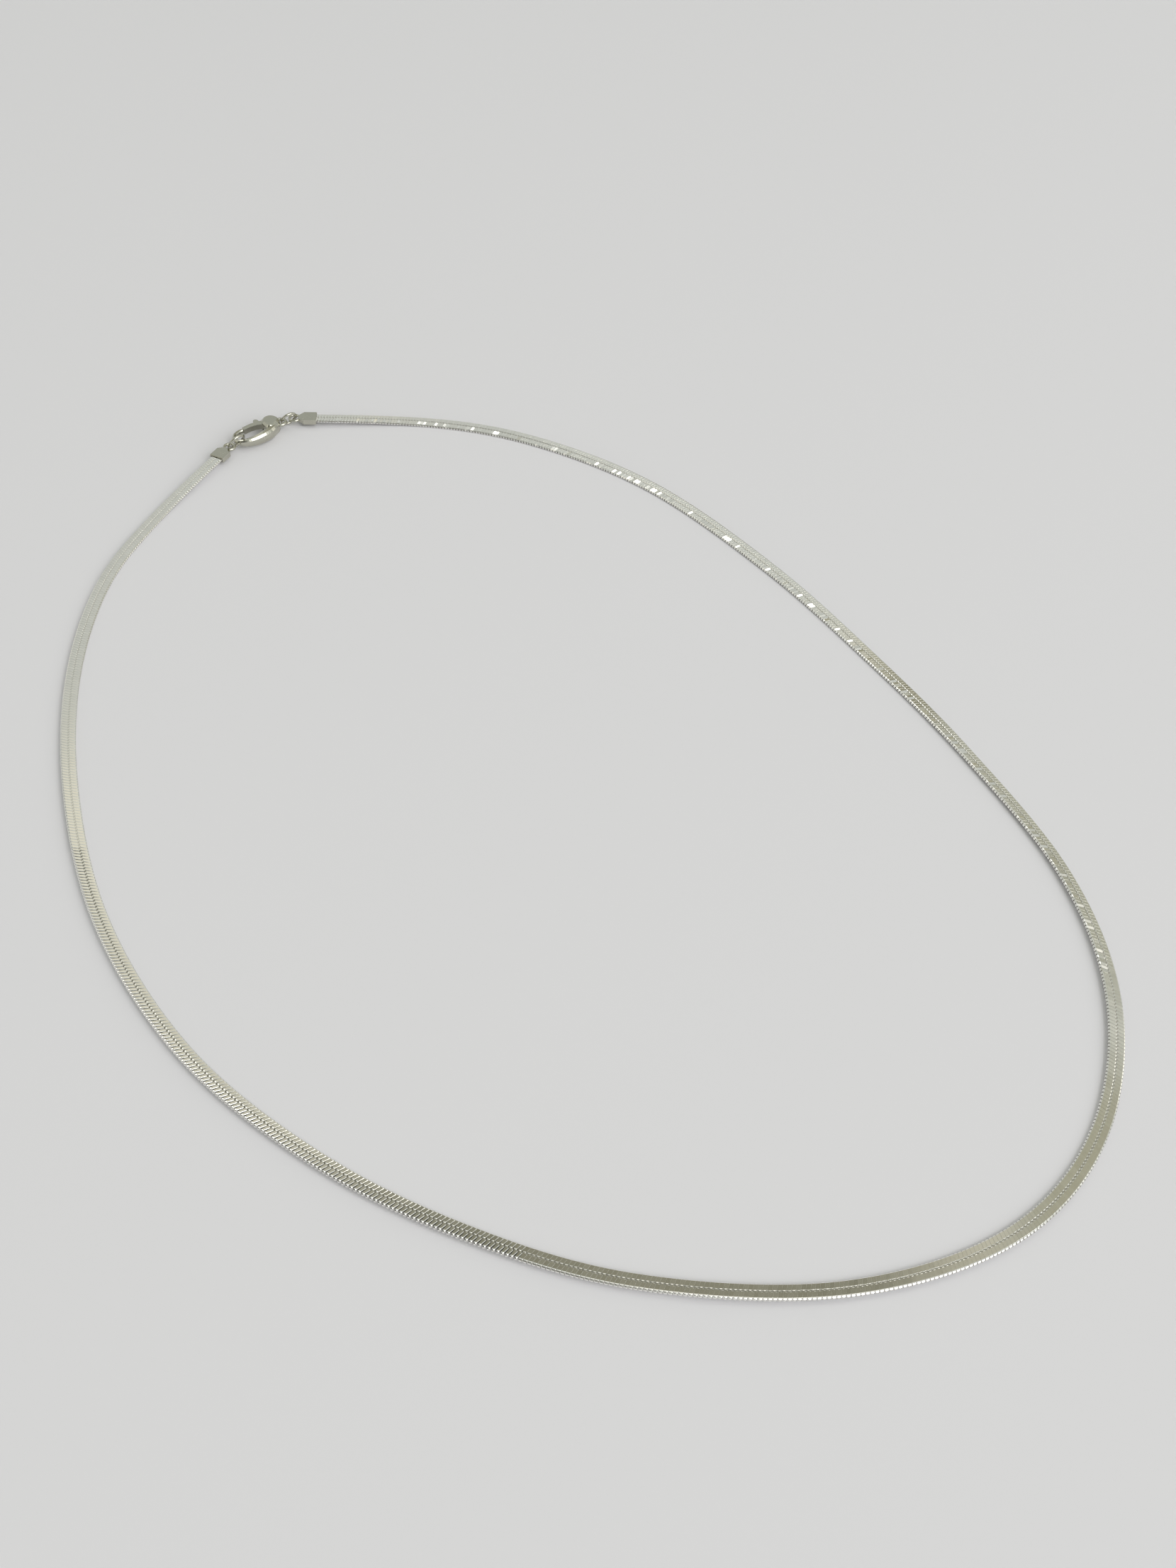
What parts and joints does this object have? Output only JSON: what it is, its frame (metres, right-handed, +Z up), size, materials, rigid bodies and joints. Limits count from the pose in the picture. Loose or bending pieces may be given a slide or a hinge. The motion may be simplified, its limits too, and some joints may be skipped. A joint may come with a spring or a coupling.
{
  "type": "flat snake chain necklace",
  "caption": "Flat snake chain necklace lying closed in a rounded loop, with squeezed end caps, jump rings and a lobster clasp with a sprung lever.",
  "frame": {"origin": "middle of the loop's box, on the surface it lies on", "axes": "+Z up from the table, +Y from the front of the loop to the clasp end, +X to the right as seen from the front"},
  "size_m": [0.1394, 0.1484, 0.0032],
  "materials": {
    "woven_silver": "two rows of small bright folded slats, meeting in a seam along the middle",
    "polished_silver": "polished, with fine wear"
  },
  "bodies": {
    "necklace": {"chain": "woven_silver", "end_cap_right": "polished_silver", "end_cap_left": "polished_silver", "jump_ring_right": "polished_silver", "jump_ring_left": "polished_silver", "clasp_body": "polished_silver"},
    "lever": {"clasp_lever": "polished_silver"}
  },
  "joints": [
    {"name": "lever_hinge", "type": "hinge", "parent": "necklace", "child": "lever", "pos_m": [-0.05293, 0.06789, 0.00125], "axis": [0, 0, 1], "range_deg": [0, 24], "stiffness_Nm_per_rad": 0.001, "springref_deg": -17.19}
  ]
}
